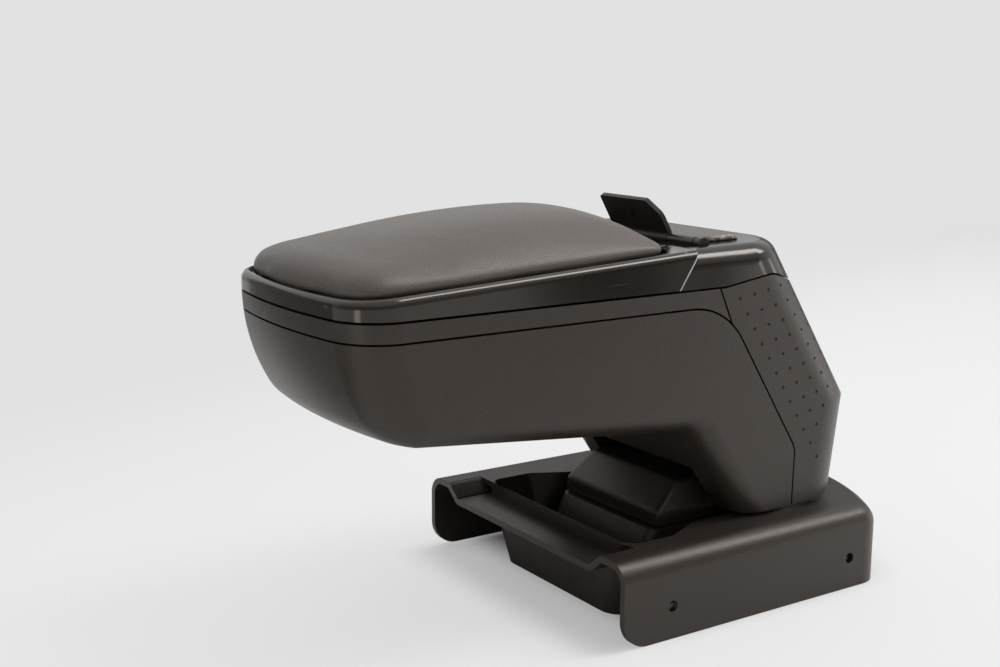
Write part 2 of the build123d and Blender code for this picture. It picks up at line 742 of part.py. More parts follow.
def storage_bin():
    """Bin with the band that shows between shell and lid."""
    outer_inset = ARM_WALL + BIN_CLEAR
    inner_inset = outer_inset + BIN_WALL
    sides = (-REACH, REACH)
    rim_top = BAND_TOP_Z - GROOVE / 2
    body = outer_wall() & slab(band_zone(), REACH)
    tub_rear = BIN_REAR_X + BIN_WALL
    body += envelope(outer_inset) & block((-REACH, tub_rear), sides, (BIN_FLOOR_Z - BIN_WALL, rim_top))
    body += envelope(0) & block((-REACH, SPLIT_LOW_X), sides, (rim_top - BIN_RIM_T, rim_top))
    body -= envelope(inner_inset) & block((-REACH, BIN_REAR_X), sides, (BIN_FLOOR_Z, REACH))
    for x, y in bin_screw_places():
        body -= stud(x, y, BIN_SCREW_R, 0, BIN_FLOOR_Z + OVERCUT)
    return body


def bin_screws():
    """Screws through the floor of the bin into the shell."""
    screws = []
    for x, y in bin_screw_places():
        head = stud(x, y, 2 * BIN_SCREW_R, BIN_FLOOR_Z, BIN_FLOOR_Z + BIN_SCREW_R)
        head = chamfer(head.edges().group_by(Axis.Z)[-1], BIN_SCREW_R / 2)
        screws.append(head + stud(x, y, BIN_SCREW_R - RUNNING_FIT, FLOOR_FRONT_Z, BIN_FLOOR_Z))
    return Compound(screws)


def rear_panel(side):
    """Dimpled panel that wraps one rear corner of the post."""
    near = SPINE_HALF + GROOVE / 2
    limits = (near, REACH) if side > 0 else (-REACH, -near)
    panel = outer_wall() & slab(rear_zone(), REACH) & block((-REACH, REACH), limits, (0, REACH))
    return panel - heel_slot()


def rear_panel_left():
    """Panel on the left of the car."""
    return rear_panel(-1)


def rear_panel_right():
    """Panel on the right of the car."""
    return rear_panel(1)


def rear_trim():
    """Gloss trim over the back of the arm, its spine and the ears of the lid hinge."""
    sides = (-REACH, REACH)
    trim = fillet(shoulder(trim_block(0), 0), TRIM_SHOULDER_R)
    trim -= chamfer(shoulder(trim_block(ARM_WALL), ARM_WALL), TRIM_HOLLOW_CHAMFER)
    trim -= grooves()
    near = SPINE_HALF - GROOVE / 2
    spine_top = BAND_TOP_Z + TRIM_EDGE_RISE + GROOVE
    wall = envelope(0) - envelope(ARM_WALL)
    trim += wall & block((TRIM_EDGE_HIGH_X, REACH), (-near, near), (SPINE_LOW_Z, spine_top))
    ear_out = KNUCKLE_OUT + BARREL_GAP + EAR_T
    trough = (SPLIT_LOW_X, HINGE_X + BARREL_R + HINGE_CLEAR)
    trim -= block(trough, (-ear_out, ear_out), (HINGE_TROUGH_Z, REACH))
    plate = block((SPLIT_LOW_X, PLATE_REAR_X), sides, (HINGE_TROUGH_Z - LID_PLATE, HINGE_TROUGH_Z))
    trim += plate & envelope(ARM_WALL / 2) & slab(trim_zone(), REACH)
    ear = Pos(HINGE_X, HINGE_Z) * Circle(BARREL_R)
    ear += Pos(HINGE_X, (HINGE_Z + HINGE_TROUGH_Z) / 2) * Rectangle(2 * BARREL_R, HINGE_Z - HINGE_TROUGH_Z)
    trim += slab_between(ear, ear_out - EAR_T, ear_out) + slab_between(ear, -ear_out, EAR_T - ear_out)
    trim -= rod(HINGE_X, HINGE_Z, HINGE_PIN_R, -ear_out - OVERCUT, ear_out + OVERCUT)
    for side in (-1, 1):
        trim -= stud(TRIM_SCREW_X, side * cheek_middle(), BIN_SCREW_R, BAND_TOP_Z, HINGE_TROUGH_Z)
    return trim


def trim_block(inset):
    """Rear end of the arm over the trim's lower edge, drawn in by a wall."""
    return envelope(inset) & slab(trim_zone(), REACH)


def shoulder(body, inset):
    """Upper outer edges of a piece of the arm that is drawn in by a wall."""
    return [edge for edge in body.edges() if shoulder_edge(edge, inset)]


def shoulder_edge(edge, inset):
    """Whether an edge runs along the top of the arm's sides or round its front or rear."""
    box = edge.bounding_box()
    on_top = box.min.Z > lid_top(box.min.X) - inset - OVERCUT
    across = box.size.Y > ARM_HALF
    from_split = across and abs(box.center().X - SPLIT_TOP_X) < 2 * ARM_WALL
    return on_top and not from_split


def cheek_middle():
    """Middle of the carrier's cheek, away from the centre plane."""
    return CHEEK_INNER + CHEEK_T / 2


def rear_pad():
    """Thin padded cover on top of the rear trim."""
    length = PAD_REAR_X - PAD_FRONT_X
    plan = Pos(PAD_FRONT_X + length / 2, 0) * RectangleRounded(length, 2 * PAD_HALF, PAD_CORNER_R)
    layer = Pos(0, 0, PAD_RISE) * envelope(0) & Pos(0, 0, BAND_TOP_Z) * extrude(plan, REACH)
    pad = layer - envelope(0)
    return fillet(pad.faces().sort_by(Axis.Z)[-1].edges(), PAD_EDGE_R)


def rear_carrier():
    """Inner frame of the post: two cheeks on the pivot, a web and spacers to the outer walls."""
    top = HINGE_TROUGH_Z - LID_PLATE
    hub_z = PIVOT_Z - CARRIER_HUB_DROP
    side = outline(
        (CARRIER_FRONT_X, CARRIER_LOW_Z, 0),
        (CARRIER_STEP_X, CARRIER_LOW_Z, 0),
        (PIVOT_X - CARRIER_HUB_HALF, hub_z, CARRIER_STEP_R),
        (PIVOT_X + CARRIER_HUB_HALF, hub_z, CARRIER_HUB_R),
        (PIVOT_X + CARRIER_HUB_BACK, PIVOT_Z - CARRIER_HUB_BACK_DROP, CARRIER_HUB_R),
        (HEEL_X - CARRIER_HEEL_GAP, HEEL_Z, CARRIER_HUB_R),
        (*CARRIER_REAR, CARRIER_R),
        (CARRIER_HEAD_X[1], top, 0),
        (CARRIER_HEAD_X[0], top, 0),
        (*CARRIER_NECK, CARRIER_R),
        (*CARRIER_THROAT, CARRIER_R),
    )
    outer = CHEEK_INNER + CHEEK_T
    across = (-outer, outer)
    web_x = (CARRIER_FRONT_X, CARRIER_WEB_REAR_X)
    carrier = block(web_x, across, (CARRIER_LOW_Z, CARRIER_LOW_Z + CHEEK_T))
    carrier += block(CARRIER_HEAD_X, across, (top - CHEEK_T, top))
    boss_end = CHEEK_INNER + CHEEK_BOSS_LEN
    wall = ARM_HALF - ARM_WALL
    for s in (-1, 1):
        carrier += slab_between(side, *sorted((s * CHEEK_INNER, s * outer)))
        carrier += rod(PIVOT_X, PIVOT_Z, CHEEK_BOSS_R, *sorted((s * CHEEK_INNER, s * boss_end)))
        for x, z in SPACERS:
            carrier += rod(x, z, SPACER_R, *sorted((s * CHEEK_INNER, s * wall)))
        carrier -= stud(TRIM_SCREW_X, s * cheek_middle(), BIN_SCREW_R, top - TRIM_SCREW_LEN, REACH)
    return carrier - rod(PIVOT_X, PIVOT_Z, PIN_R + BUSH_WALL, -REACH, REACH)


def trim_screws():
    """Screws from the hinge plate into the cheeks."""
    top = HINGE_TROUGH_Z
    screws = []
    for y in (-cheek_middle(), cheek_middle()):
        head = stud(TRIM_SCREW_X, y, 2 * BIN_SCREW_R, top, top + BIN_SCREW_R)
        screws.append(head + stud(TRIM_SCREW_X, y, BIN_SCREW_R - RUNNING_FIT, top - TRIM_SCREW_LEN, top))
    return Compound(screws)


def pivot_bush(side):
    """Flanged bush pressed into one cheek boss."""
    flange = CHEEK_INNER - BUSH_FLANGE_T
    end = CHEEK_INNER + CHEEK_BOSS_LEN
    bush = rod(PIVOT_X, PIVOT_Z, PIN_R + BUSH_WALL, *sorted((side * CHEEK_INNER, side * end)))
    bush += rod(PIVOT_X, PIVOT_Z, BUSH_FLANGE_R, *sorted((side * flange, side * CHEEK_INNER)))
    return bush - rod(PIVOT_X, PIVOT_Z, PIN_R + RUNNING_FIT, -REACH, REACH)


def pivot_bush_left():
    """Bush on the left of the car."""
    return pivot_bush(-1)


def pivot_bush_right():
    """Bush on the right of the car."""
    return pivot_bush(1)


def lid_opening(inset, rear_x, corner_r):
    """Upright prism of the cushion's place in the lid."""
    plan = Pos(-LID_OPENING_FORWARD, 0) * front_plan(inset)
    plan &= Pos(rear_x - REACH / 2, 0) * Rectangle(REACH, REACH)
    plan = fillet(plan.vertices().group_by(Axis.X)[-1], corner_r)
    front = [corner for corner in plan.vertices() if corner.X < ARM_FRONT_X + ARM_SIDE_BACK + inset]
    plan = fillet(front, CUSHION_FRONT_SOFT_R)
    return Pos(0, 0, BAND_TOP_Z) * extrude(plan, REACH)


def under_lid(drop):
    """Side-view face below a line that lies a drop under the lid's upper face."""
    front = ARM_FRONT_X - ARM_WALL
    top = [(front, lid_top(front) - drop), (0, lid_top(0) - drop)]
    return make_face(Polyline((front, 0), *top, (0, 0), close=True))


def lid_frame():
    """Gloss lid frame: outer wall, upper ledge, rear wall and hinge knuckles."""
    frame = envelope(0) & slab(lid_zone(0), REACH)
    frame = fillet(shoulder(frame, 0), LID_SHOULDER_R)
    hollow = envelope(ARM_WALL) & slab(lid_zone(ARM_WALL), REACH) & slab(under_lid(LID_PLATE), REACH)
    frame -= hollow
    opening = lid_opening(LID_OPENING_INSET, CUSHION_REAR_X + CUSHION_CLEAR, CUSHION_CORNER_R)
    frame -= opening & slab(lid_zone(ARM_WALL), REACH)
    recess = lid_opening(LID_RECESS_INSET, CUSHION_REAR_X + CUSHION_CLEAR, CUSHION_CORNER_R)
    frame -= recess - slab(under_lid(LID_RECESS_DEPTH), REACH)
    leaf_mid = lid_top(SPLIT_TOP_X) - BARREL_GAP - LID_PLATE / 2
    leaf_start = SPLIT_TOP_X - ARM_WALL
    leaf = Pos(HINGE_X, HINGE_Z) * Circle(BARREL_R)
    leaf += Pos((leaf_start + HINGE_X) / 2, leaf_mid) * Rectangle(HINGE_X - leaf_start, LID_PLATE)
    start = TAB_BARREL_HALF + BARREL_GAP
    frame += slab_between(leaf, start, KNUCKLE_OUT) + slab_between(leaf, -KNUCKLE_OUT, -start)
    frame -= rod(HINGE_X, HINGE_Z, HINGE_PIN_R + RUNNING_FIT, -REACH, REACH)
    for tool in lid_screw_tools(LID_SCREW_R):
        frame -= tool & slab(under_lid(LID_PLATE / 2), REACH)
    return frame


def lid_screw_tools(radius):
    """Screw shanks square to the lid's slope, from the board up into the ledge."""
    middle = (ARM_WALL + LID_OPENING_INSET) / 2
    tools = []
    for x in LID_SCREW_X:
        for side in (-1, 1):
            place = Pos(x, side * (ARM_HALF - middle), lid_top(x) - LID_PLATE) * Rot(0, -LID_SLOPE, 0)
            tools.append(place * Cylinder(radius, 3 * BOARD_T))
    return tools


def lid_board():
    """Board that closes the lid and carries the cushion."""
    layer = under_lid(LID_PLATE) - under_lid(LID_PLATE + BOARD_T)
    board = slab(layer, REACH) & envelope(ARM_WALL + BOARD_CLEAR)
    board &= slab(lid_zone(ARM_WALL + BOARD_CLEAR), REACH)
    for tool in lid_screw_tools(LID_SCREW_R):
        board -= tool
    return board


def lid_screws():
    """Small screws up through the board, with their heads under it."""
    board_low = LID_PLATE + BOARD_T
    head_layer = slab(under_lid(board_low) - under_lid(board_low + LID_SCREW_HEAD_H), REACH)
    shank_layer = slab(under_lid(LID_PLATE / 2) - under_lid(board_low), REACH)
    heads = lid_screw_tools(LID_SCREW_HEAD_R)
    shanks = lid_screw_tools(LID_SCREW_R - RUNNING_FIT)
    return Compound([(head & head_layer) + (shank & shank_layer) for head, shank in zip(heads, shanks)])


def crown_section(x, rise, crown_r):
    """Cross-section under the cushion's crown at a place along the arm."""
    high = lid_top(x) + rise
    side = high - ARM_HALF ** 2 / (2 * crown_r)
    low = lid_top(x) - LID_PLATE
    crown = ThreePointArc((-ARM_HALF, side), (0, high), (ARM_HALF, side))
    walls = Polyline((ARM_HALF, side), (ARM_HALF, low), (-ARM_HALF, low), (-ARM_HALF, side))
    return Plane.YZ.offset(x) * make_face([crown, walls])


def cushion():
    """Body of the padded cushion, crowned both ways, with a plug that fills the lid's opening."""
    inset = LID_RECESS_INSET + CUSHION_CLEAR
    front = ARM_FRONT_X + inset - LID_OPENING_FORWARD - OVERCUT
    rear = CUSHION_REAR_X + OVERCUT
    sections = [
        crown_section(front, CUSHION_FRONT_RISE, CUSHION_FRONT_CROWN_R),
        crown_section((front + rear) / 2, CUSHION_MID_RISE, CUSHION_MID_CROWN_R),
        crown_section(rear, CUSHION_REAR_RISE, CUSHION_REAR_CROWN_R),
    ]
    body = loft([section.face() for section in sections])
    body &= lid_opening(inset, CUSHION_REAR_X, CUSHION_CORNER_R)
    body -= slab(under_lid(LID_RECESS_DEPTH), REACH)
    top = body.faces().sort_by(Axis.Z)[-1]
    pad = fillet(top.edges(), CUSHION_EDGE_R)
    plug = lid_opening(LID_OPENING_INSET + CUSHION_CLEAR, CUSHION_REAR_X, CUSHION_CORNER_R)
    return pad + (plug & slab(under_lid(LID_RECESS_DEPTH) - under_lid(LID_PLATE), REACH))


def lid_hinge_pin():
    """Thin pin through lid, tab and trim ears."""
    end = KNUCKLE_OUT + BARREL_GAP + EAR_T
    return rod(HINGE_X, HINGE_Z, HINGE_PIN_R, -end, end)


def release_tab():
    """Finger tab on the hinge pin: a flap off the back of its barrel that leans forward."""
    barrel = rod(HINGE_X, HINGE_Z, BARREL_R, -TAB_BARREL_HALF, TAB_BARREL_HALF)
    face = outline(
        (-TAB_NEAR_Y, 0, 0),
        (-TAB_NEAR_Y, TAB_SHOULDER, TAB_SHOULDER_R),
        (-TAB_NEAR_TOP_Y, TAB_TIP, TAB_CORNER_R),
        (TAB_FAR_Y, TAB_TIP, TAB_CORNER_R),
        (TAB_FAR_Y, 0, 0),
    )
    flap = Pos(BARREL_R - TAB_SET - TAB_T, 0, 0) * extrude(Plane.YZ * face, amount=TAB_T)
    tab = barrel + Pos(HINGE_X, 0, HINGE_Z) * Rot(0, -TAB_LEAN, 0) * flap
    return tab - rod(HINGE_X, HINGE_Z, HINGE_PIN_R + RUNNING_FIT, -REACH, REACH)


def lid_bumpers():
    """Two soft stops on the rim of the bin, under the front of the lid."""
    x = ARM_FRONT_X + ARM_WALL + BUMPER_R + BUMPER_CLEAR
    low = BAND_TOP_Z - GROOVE / 2
    high = lid_top(x) - LID_PLATE - BOARD_T - REST_CLEAR
    return Compound([stud(x, side * BUMPER_Y, BUMPER_R, low, high) for side in (-1, 1)])


PIECES = (
    base_tray, pivot_cover, hinge_bracket, bracket_screws, bracket_nuts, cover_screws, rest_bumper,
    pivot_pin, pin_clips, arm_shell, storage_bin, bin_screws, rear_panel_left, rear_panel_right,
    rear_trim, rear_pad, rear_carrier, trim_screws, pivot_bush_left, pivot_bush_right, lid_hinge_pin,
    lid_frame, lid_board, lid_screws, cushion, lid_bumpers, release_tab,
)


if __name__ == "__main__":
    os.makedirs("parts", exist_ok=True)
    for make in PIECES:
        piece = make()
        print(make.__name__, len(piece.solids()), piece.is_valid)
        export_step(piece, f"parts/{make.__name__}.step")
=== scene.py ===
"""Studio scene of a car centre armrest: finishes, padded pieces and small reliefs."""

import json
import math

import bpy
from mathutils import Matrix, Vector
from mathutils.bvhtree import BVHTree
from mathutils.kdtree import KDTree


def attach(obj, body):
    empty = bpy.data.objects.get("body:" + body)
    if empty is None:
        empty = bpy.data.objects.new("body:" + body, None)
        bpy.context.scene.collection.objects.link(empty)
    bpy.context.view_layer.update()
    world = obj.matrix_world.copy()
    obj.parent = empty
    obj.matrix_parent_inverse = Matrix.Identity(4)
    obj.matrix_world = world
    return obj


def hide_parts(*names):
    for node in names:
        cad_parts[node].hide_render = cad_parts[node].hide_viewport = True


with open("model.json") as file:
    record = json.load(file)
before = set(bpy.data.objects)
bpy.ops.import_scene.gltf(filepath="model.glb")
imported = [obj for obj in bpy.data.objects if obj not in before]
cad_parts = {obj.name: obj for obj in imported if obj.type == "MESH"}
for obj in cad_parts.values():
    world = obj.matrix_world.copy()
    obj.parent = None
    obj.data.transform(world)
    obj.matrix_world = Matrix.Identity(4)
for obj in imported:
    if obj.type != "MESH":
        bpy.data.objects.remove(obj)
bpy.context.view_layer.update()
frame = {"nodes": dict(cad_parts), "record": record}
NODES = frame["nodes"]

# Places shared with the frame, in metres
ARM_HALF = 0.061
LID_FRONT = Vector((-0.2005, 0, 0.1571))
LID_REAR = Vector((-0.0270, 0, 0.1666))
SPLIT_TOP = Vector((-0.0274, 0, 0.1666))
SPLIT_LOW = Vector((-0.0392, 0, 0.1490))
TAB_PIN = Vector((-0.016, 0, 0.167))
TAB_LEAN = math.radians(30)
HEEL_X, HEEL_HEIGHT = 0.0835, 0.088
BACK_TOP_X, BACK_TOP_HEIGHT = 0.031, 0.1675
BACK_LEAN = (BACK_TOP_X - HEEL_X) / (BACK_TOP_HEIGHT - HEEL_HEIGHT)
CORNER_START = 0.0535
CORNER_RADIUS = 0.030


# Working on one piece at a time

MERGE_GAP = 1e-6


def only(piece):
    """Make one object the selected and active one."""
    bpy.ops.object.select_all(action="DESELECT")
    piece.select_set(True)
    bpy.context.view_layer.objects.active = piece


def shape(piece, kind, **settings):
    """Add a modifier with its settings and apply it."""
    only(piece)
    modifier = piece.modifiers.new(kind.lower(), kind)
    for name, value in settings.items():
        setattr(modifier, name, value)
    bpy.ops.object.modifier_apply(modifier=modifier.name)


def edit(piece, *steps):
    """Run edit-mode operators, given as (operator, settings), on the whole mesh of a piece."""
    only(piece)
    bpy.ops.object.mode_set(mode="EDIT")
    bpy.ops.mesh.select_all(action="SELECT")
    for operator, settings in steps:
        operator(**settings)
    bpy.ops.object.mode_set(mode="OBJECT")


def copy_of(node, name):
    """Merged copy of a CAD node's mesh, as a piece of its own."""
    piece = bpy.data.objects.new(name, NODES[node].data.copy())
    bpy.context.scene.collection.objects.link(piece)
    edit(piece, (bpy.ops.mesh.remove_doubles, {"threshold": MERGE_GAP}))
    bpy.ops.mesh.customdata_custom_splitnormals_clear()
    return piece


def placed(piece, matrix):
    """Put a piece in its place and keep the place in its mesh."""
    piece.matrix_world = matrix
    only(piece)
    bpy.ops.object.transform_apply(location=True, rotation=True, scale=True)
    return piece


def joined(pieces, name):
    """Several pieces as one object."""
    bpy.ops.object.select_all(action="DESELECT")
    for piece in pieces:
        piece.select_set(True)
    bpy.context.view_layer.objects.active = pieces[0]
    bpy.ops.object.join()
    pieces[0].name = name
    return pieces[0]


def smooth(piece, degrees):
    """Smooth shading with creases over an angle."""
    only(piece)
    bpy.ops.object.shade_smooth_by_angle(angle=math.radians(degrees))


# Finishes

SPECK_CORE = 0.7


class Signal:
    """A number that varies over a surface. Arithmetic on it adds the Math nodes."""

    def __init__(self, finish, socket):
        self.finish = finish
        self.socket = socket

    def math(self, operation, first, second):
        return self.finish.node("Math", {"operation": operation}, {0: first, 1: second})

    def __add__(self, other):
        return self.math("ADD", self, other)

    def __sub__(self, other):
        return self.math("SUBTRACT", self, other)

    def __rsub__(self, other):
        return self.math("SUBTRACT", other, self)

    def __mul__(self, other):
        return self.math("MULTIPLY", self, other)

    __radd__ = __add__
    __rmul__ = __mul__


class NodeBench:
    """A node tree, and one way to add any node to it."""

    def __init__(self, tree, coordinates):
        self.tree = tree
        self.place = self.node("TexCoord", {}, {}, coordinates)

    def node(self, kind, settings, inputs, output=0):
        """Add a node: its settings first, then the values or links of its sockets."""
        made = self.tree.nodes.new("ShaderNode" + kind)
        for name, value in settings.items():
            if name == "stops":
                self.set_stops(made.color_ramp, value)
            else:
                setattr(made, name, value)
        for name, value in inputs.items():
            if isinstance(value, Signal):
                self.tree.links.new(value.socket, made.inputs[name])
            else:
                made.inputs[name].default_value = value
        return Signal(self, made.outputs[output]) if made.outputs else None

    @staticmethod
    def set_stops(ramp, stops):
        while len(ramp.elements) < len(stops):
            ramp.elements.new(0.5)
        for element, (place, level) in zip(ramp.elements, stops):
            element.position = place
            element.color = (level, level, level, 1)

    def ramp(self, signal, *stops):
        """A signal sent through a ramp of (place, level) stops."""
        return self.node("ValToRGB", {"stops": stops}, {"Fac": signal})

    def axis(self, name):
        """One of the coordinates."""
        return self.node("SeparateXYZ", {}, {"Vector": self.place}, name)

    def step(self, signal, low, high):
        """Soft step from 0 at one level of a signal to 1 at another."""
        inputs = {"Value": signal, "From Min": low, "From Max": high}
        return self.node("MapRange", {"interpolation_type": "SMOOTHSTEP"}, inputs)

    def window(self, signal, low, high, soft):
        """1 between two limits of a signal, falling softly to 0 outside them."""
        return self.step(signal, low - soft, low) * (1 - self.step(signal, high, high + soft))

    def higher(self, first, second):
        """The larger of two signals."""
        return self.node("Math", {"operation": "MAXIMUM"}, {0: first, 1: second})

    def ray(self, kind):
        """1 for rays of one kind."""
        return self.node("LightPath", {}, {}, f"Is {kind} Ray")


class Finish(NodeBench):
    """One surface finish: a material and the nodes that make it."""

    def __init__(self, name, **constants):
        self.material = bpy.data.materials.new(name)
        self.material.use_nodes = True
        super().__init__(self.material.node_tree, "Object")
        self.shader = self.tree.nodes["Principled BSDF"]
        for socket, value in constants.items():
            self.shader.inputs[socket.replace("_", " ")].default_value = value

    def noise(self, scale, detail=2.0, stretch=(1, 1, 1)):
        """Cloudy pattern from 0 to 1, on the piece's own coordinates."""
        place = self.node("Mapping", {}, {"Vector": self.place, "Scale": stretch})
        return self.node("TexNoise", {}, {"Vector": place, "Scale": scale, "Detail": detail}, "Fac")

    def cells(self, scale, feature="DISTANCE_TO_EDGE"):
        """Cell pattern, as the distance to the nearest edge or centre of a cell."""
        inputs = {"Vector": self.place, "Scale": scale}
        return self.node("TexVoronoi", {"feature": feature}, inputs, "Distance")

    def dust(self, scale, size):
        """Few small specks, one at most in each cell of a coarse pattern."""
        return 1 - self.step(self.cells(scale, "F1"), size * SPECK_CORE, size)

    def blend(self, low, high, share):
        """Two colours mixed by a share."""
        return self.node("Mix", {"data_type": "RGBA"}, {0: share, 6: low, 7: high}, 2)

    def link(self, socket, signal):
        self.tree.links.new(signal.socket, self.shader.inputs[socket])

    def bump(self, height, strength, distance):
        """Relief from a height signal."""
        inputs = {"Height": height, "Strength": strength, "Distance": distance}
        self.link("Normal", self.node("Bump", {}, inputs))

    def glow(self, colour, share):
        """Let a plain bright tone take over a share of the surface."""
        tone = self.node("Emission", {}, {"Color": colour})
        surface = Signal(self, self.shader.outputs["BSDF"])
        mixed = self.node("MixShader", {}, {0: share, 1: surface, 2: tone})
        self.tree.links.new(mixed.socket, self.tree.nodes["Material Output"].inputs["Surface"])


def rgb(red, green, blue):
    return (red, green, blue, 1.0)


WARM_GLINT = rgb(1.0, 0.91, 0.84)
DUST_TONE = rgb(0.30, 0.28, 0.26)

# Scuffed ledge of the lid behind the cushion
SCUFF_X = (-0.0375, -0.0285)
SCUFF_Y = (-0.060, -0.040)
SCUFF_Z = (0.1655, 0.1680)

# Frayed edge of a padded cover: limits about its place across, the place on the rear facing,
# and a place off the part for a cover with no such edge
FRAY_BEFORE, FRAY_AFTER, FRAY_SOFT = 0.0008, 0.0012, 0.0008
FACING_FRAY = -0.0435
NO_FRAY = -0.2


def moulded_plastic():
    """Fine-grained moulding: satin, warm dark grey, with a trace of dust."""
    finish = Finish("moulded_plastic", Specular_IOR_Level=0.5, Specular_Tint=WARM_GLINT)
    grain = finish.ramp(finish.noise(1700, 2.0), (0.28, 0.0), (0.72, 1.0))
    cloud = finish.noise(22, 3.0)
    mottle = cloud * 0.4 + grain * 0.6
    body = finish.blend(rgb(0.0175, 0.0135, 0.0105), rgb(0.0350, 0.0278, 0.0230), mottle)
    dusty = finish.dust(130, 0.028) * 0.3
    finish.link("Base Color", finish.blend(body, DUST_TONE, dusty))
    finish.link("Roughness", 0.25 + grain * 0.14 + cloud * 0.05)
    finish.bump(grain, 0.40, 0.00010)
    return finish.material


def gloss_plastic():
    """Polished trim with faint hazing, fine scratches and a scuffed ledge behind the cushion."""
    finish = Finish("gloss_plastic", Specular_IOR_Level=0.6, Specular_Tint=WARM_GLINT)
    cloud = finish.noise(30, 3.0)
    scratch = finish.ramp(finish.noise(900, 2.0, (0.04, 1.0, 1.0)), (0.66, 0.0), (0.74, 1.0))
    behind = finish.window(finish.axis("X"), *SCUFF_X, 0.001)
    on_top = finish.window(finish.axis("Z"), *SCUFF_Z, 0.0003)
    near_end = finish.window(finish.axis("Y"), *SCUFF_Y, 0.006)
    patchy = finish.ramp(finish.noise(420, 4.0), (0.52, 0.0), (0.62, 1.0))
    worn = behind * on_top * near_end * patchy
    body = finish.blend(rgb(0.0110, 0.0088, 0.0070), rgb(0.0165, 0.0135, 0.0110), cloud)
    finish.link("Base Color", finish.blend(body, DUST_TONE, worn * 0.5))
    finish.link("Roughness", 0.13 + cloud * 0.05 + scratch * 0.10 + worn * 0.35)
    finish.bump(scratch + cloud * 0.5, 0.04, 0.00005)
    return finish.material


def leatherette(name, frayed_at):
    """Grained cover of a padded piece, with a pale frayed edge."""
    finish = Finish(name, Specular_IOR_Level=0.45, Specular_Tint=WARM_GLINT)
    pore = finish.ramp(finish.cells(820), (0.0, 0.0), (0.16, 1.0))
    fine = finish.noise(1900, 2.0)
    cloud = finish.noise(14, 3.0)
    mottle = cloud * 0.4 + pore * 0.6
    tone = finish.blend(rgb(0.083, 0.071, 0.063), rgb(0.116, 0.102, 0.092), mottle)
    limits = (frayed_at - FRAY_BEFORE, frayed_at + FRAY_AFTER)
    edge = finish.window(finish.axis("Y"), *limits, FRAY_SOFT)
    frayed = edge * finish.ramp(finish.noise(700, 3.0), (0.42, 0.0), (0.60, 1.0))
    pale = finish.higher(finish.dust(150, 0.035) * 0.5, frayed * 0.8)
    finish.link("Base Color", finish.blend(tone, rgb(0.44, 0.42, 0.40), pale))
    finish.link("Roughness", 0.41 - pore * 0.08 + fine * 0.08)
    finish.bump(pore * 0.7 + fine * 0.3, 0.35, 0.00014)
    return finish.material


def tab_plastic():
    """Smooth near-black moulding of the finger tab."""
    finish = Finish("tab_plastic", Specular_IOR_Level=0.4)
    cloud = finish.noise(60, 3.0)
    grain = finish.noise(2400, 1.0)
    body = finish.blend(rgb(0.017, 0.0135, 0.0105), rgb(0.024, 0.0195, 0.0160), cloud)
    finish.link("Base Color", body)
    finish.link("Roughness", 0.36 + cloud * 0.10)
    finish.bump(grain, 0.10, 0.00005)
    return finish.material


def pale_joint_strip():
    """Pale strip that shows in the joint between lid and rear trim."""
    finish = Finish("pale_joint_strip", Specular_IOR_Level=0.5)
    wear = finish.noise(700, 3.0)
    body = finish.blend(rgb(0.42, 0.40, 0.38), rgb(0.80, 0.78, 0.75), wear)
    finish.link("Base Color", body)
    finish.link("Roughness", 0.35 + wear * 0.2)
    finish.bump(wear, 0.1, 0.00005)
    return finish.material


def plated_steel():
    """Zinc-plated steel of bracket, pins and screws."""
    finish = Finish("plated_steel", Metallic=1.0)
    brushed = finish.noise(900, 3.0, (1.0, 0.06, 1.0))
    cloud = finish.noise(45, 3.0)
    body = finish.blend(rgb(0.42, 0.42, 0.43), rgb(0.62, 0.61, 0.59), cloud)
    finish.link("Base Color", body)
    finish.link("Roughness", 0.26 + brushed * 0.18)
    finish.bump(brushed, 0.08, 0.00005)
    return finish.material


def blackened_steel():
    """Dark oxide finish of the thin lid pin."""
    finish = Finish("blackened_steel", Metallic=0.8)
    cloud = finish.noise(160, 3.0)
    body = finish.blend(rgb(0.020, 0.019, 0.018), rgb(0.045, 0.042, 0.040), cloud)
    finish.link("Base Color", body)
    finish.link("Roughness", 0.38 + cloud * 0.15)
    finish.bump(cloud, 0.05, 0.00005)
    return finish.material


def soft_rubber():
    """Matt black rubber of the stops."""
    finish = Finish("soft_rubber", Specular_IOR_Level=0.3)
    grain = finish.noise(1300, 3.0)
    body = finish.blend(rgb(0.012, 0.012, 0.012), rgb(0.026, 0.025, 0.024), grain)
    finish.link("Base Color", body)
    finish.link("Roughness", 0.70 + grain * 0.15)
    finish.bump(grain, 0.2, 0.0001)
    return finish.material


def natural_nylon():
    """Milky nylon of the pivot bushes."""
    finish = Finish("natural_nylon", Specular_IOR_Level=0.45)
    cloud = finish.noise(120, 3.0)
    body = finish.blend(rgb(0.60, 0.57, 0.50), rgb(0.74, 0.71, 0.64), cloud)
    finish.link("Base Color", body)
    finish.link("Roughness", 0.38 + cloud * 0.12)
    finish.bump(cloud, 0.08, 0.0001)
    return finish.material


MOULDED, GLOSS = moulded_plastic(), gloss_plastic()
LEATHER = leatherette("cushion_cover", NO_FRAY)
FACING = leatherette("rear_facing_cover", FACING_FRAY)
TAB, STRIP_FINISH, STEEL = tab_plastic(), pale_joint_strip(), plated_steel()
RUBBER, NYLON = soft_rubber(), natural_nylon()
SLOT_FINISH = {
    "moulded_plastic": MOULDED,
    "gloss_plastic": GLOSS,
    "leatherette": LEATHER,
    "steel": STEEL,
    "rubber": RUBBER,
    "nylon": NYLON,
}


def coat(piece, material):
    """Give a piece one finish all over."""
    piece.data.materials.clear()
    piece.data.materials.append(material)


